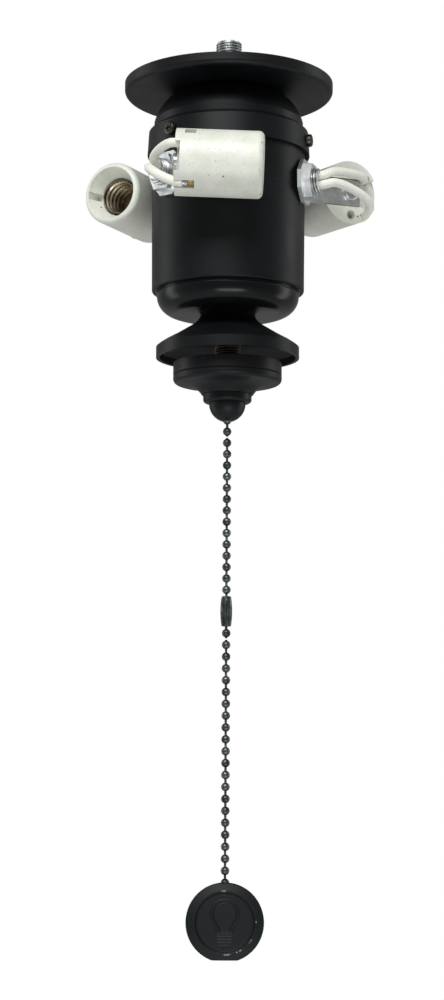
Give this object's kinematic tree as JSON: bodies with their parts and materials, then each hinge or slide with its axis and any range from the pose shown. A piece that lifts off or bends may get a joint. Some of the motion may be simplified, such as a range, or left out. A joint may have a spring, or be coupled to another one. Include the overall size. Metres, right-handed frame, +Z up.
{
  "type": "three-lamp fitter with pull chain switch",
  "caption": "Hanging lamp fitter: black housing with small screw lampholders round it, a glass holder and finial below, and a pull chain switch with a round fob.",
  "frame": {"origin": "on the housing axis, level with the rim of the canopy plate, where the top nipple's free thread begins", "axes": "+Z up along the axis, -Y toward the fob's face, +X to the right"},
  "size_m": [0.1114, 0.1021, 0.3446],
  "materials": {
    "black_coat": "satin black powder coat",
    "porcelain": "unglazed to lightly glazed porcelain, fine specks",
    "glass_sleeve": "braided white glass-fibre sleeve",
    "zinc_plate": "bright bluish zinc plate",
    "nickel_shell": "thin nickel plate",
    "brass_contact": "plain brass",
    "brass_thread": "dull brass plate on steel",
    "dark_nickel": "dark nickel plate",
    "gunmetal": "gunmetal plated ball chain",
    "phenolic": "moulded phenolic"
  },
  "bodies": {
    "housing": {"bottom_cover": "black_coat", "bracket_screw_back": "zinc_plate", "bracket_screw_front": "zinc_plate", "bracket_screw_right": "zinc_plate", "canopy_plate": "black_coat", "cap_locknut": "zinc_plate", "cap_screw_1": "dark_nickel", "cap_screw_2": "dark_nickel", "cap_screw_3": "dark_nickel", "centre_contact_back": "brass_contact", "centre_contact_front": "brass_contact", "centre_contact_right": "brass_contact", "glass_holder": "black_coat", "housing_cap": "black_coat", "housing_tube": "black_coat", "inner_nut_back": "zinc_plate", "inner_nut_front": "zinc_plate", "inner_nut_right": "zinc_plate", "lamp_bracket_back": "zinc_plate", "lamp_bracket_front": "zinc_plate", "lamp_bracket_right": "zinc_plate", "lamp_nipple_back": "zinc_plate", "lamp_nipple_front": "zinc_plate", "lamp_nipple_right": "zinc_plate", "lamp_nut_back": "zinc_plate", "lamp_nut_front": "zinc_plate", "lamp_nut_right": "zinc_plate", "lampholder_back": "porcelain", "lampholder_front": "porcelain", "lampholder_right": "porcelain", "lead_lower_back": "glass_sleeve", "lead_lower_front": "glass_sleeve", "lead_lower_right": "glass_sleeve", "lead_upper_back": "glass_sleeve", "lead_upper_front": "glass_sleeve", "lead_upper_right": "glass_sleeve", "rod_nut_lower": "zinc_plate", "rod_nut_upper": "zinc_plate", "screw_shell_back": "nickel_shell", "screw_shell_front": "nickel_shell", "screw_shell_right": "nickel_shell", "switch_bushing": "nickel_shell", "switch_case": "phenolic", "switch_coupling": "zinc_plate", "switch_cover": "phenolic", "threaded_rod": "brass_thread", "top_locknut": "zinc_plate", "top_nipple": "zinc_plate"},
    "pull": {"pull_actuator": "phenolic", "inner_chain": "gunmetal", "return_spring": "nickel_shell"},
    "rotor": {"switch_rotor": "phenolic"},
    "cup": {"finial_cup": "black_coat"},
    "knob": {"finial_knob": "black_coat"},
    "chain_upper": {"upper_chain": "gunmetal", "chain_connector": "gunmetal", "connector_stub": "gunmetal"},
    "chain_lower": {"lower_chain": "gunmetal"},
    "fob": {"fob": "black_coat"}
  },
  "joints": [
    {"name": "pull_slide", "type": "slide", "parent": "housing", "child": "pull", "axis": [0, 0, -1], "range_m": [0, 0.008], "stiffness_N_per_m": 400, "deforming": ["return_spring"]},
    {"name": "rotor_turn", "type": "hinge", "parent": "housing", "child": "rotor", "pos_m": [0, 0.0042, -0.053], "axis": [0, 1, 0], "range_deg": [0, 45]},
    {"name": "cup_slide", "type": "slide", "parent": "housing", "child": "cup", "axis": [0, 0, -1], "range_m": [0, 0.004]},
    {"name": "knob_turn", "type": "hinge", "parent": "cup", "child": "knob", "pos_m": [0, 0, -0.12], "axis": [0, 0, -1], "range_deg": [0, 1440]},
    {"name": "chain_swing", "type": "hinge", "parent": "pull", "child": "chain_upper", "pos_m": [0, 0, -0.13596], "axis": [0, 1, 0], "range_deg": [-25, 25]},
    {"name": "lower_swing", "type": "hinge", "parent": "chain_upper", "child": "chain_lower", "pos_m": [0, 0, -0.21145], "axis": [0, 1, 0], "range_deg": [-30, 30]},
    {"name": "fob_spin", "type": "hinge", "parent": "chain_lower", "child": "fob", "pos_m": [0, 0, -0.3], "axis": [0, 0, 1], "continuous": true}
  ],
  "couplings": [
    {"joint": "rotor_turn", "follows": "pull_slide", "rad_per_m": 98.175},
    {"joint": "knob_turn", "follows": "cup_slide", "rad_per_m": 6283.2}
  ]
}
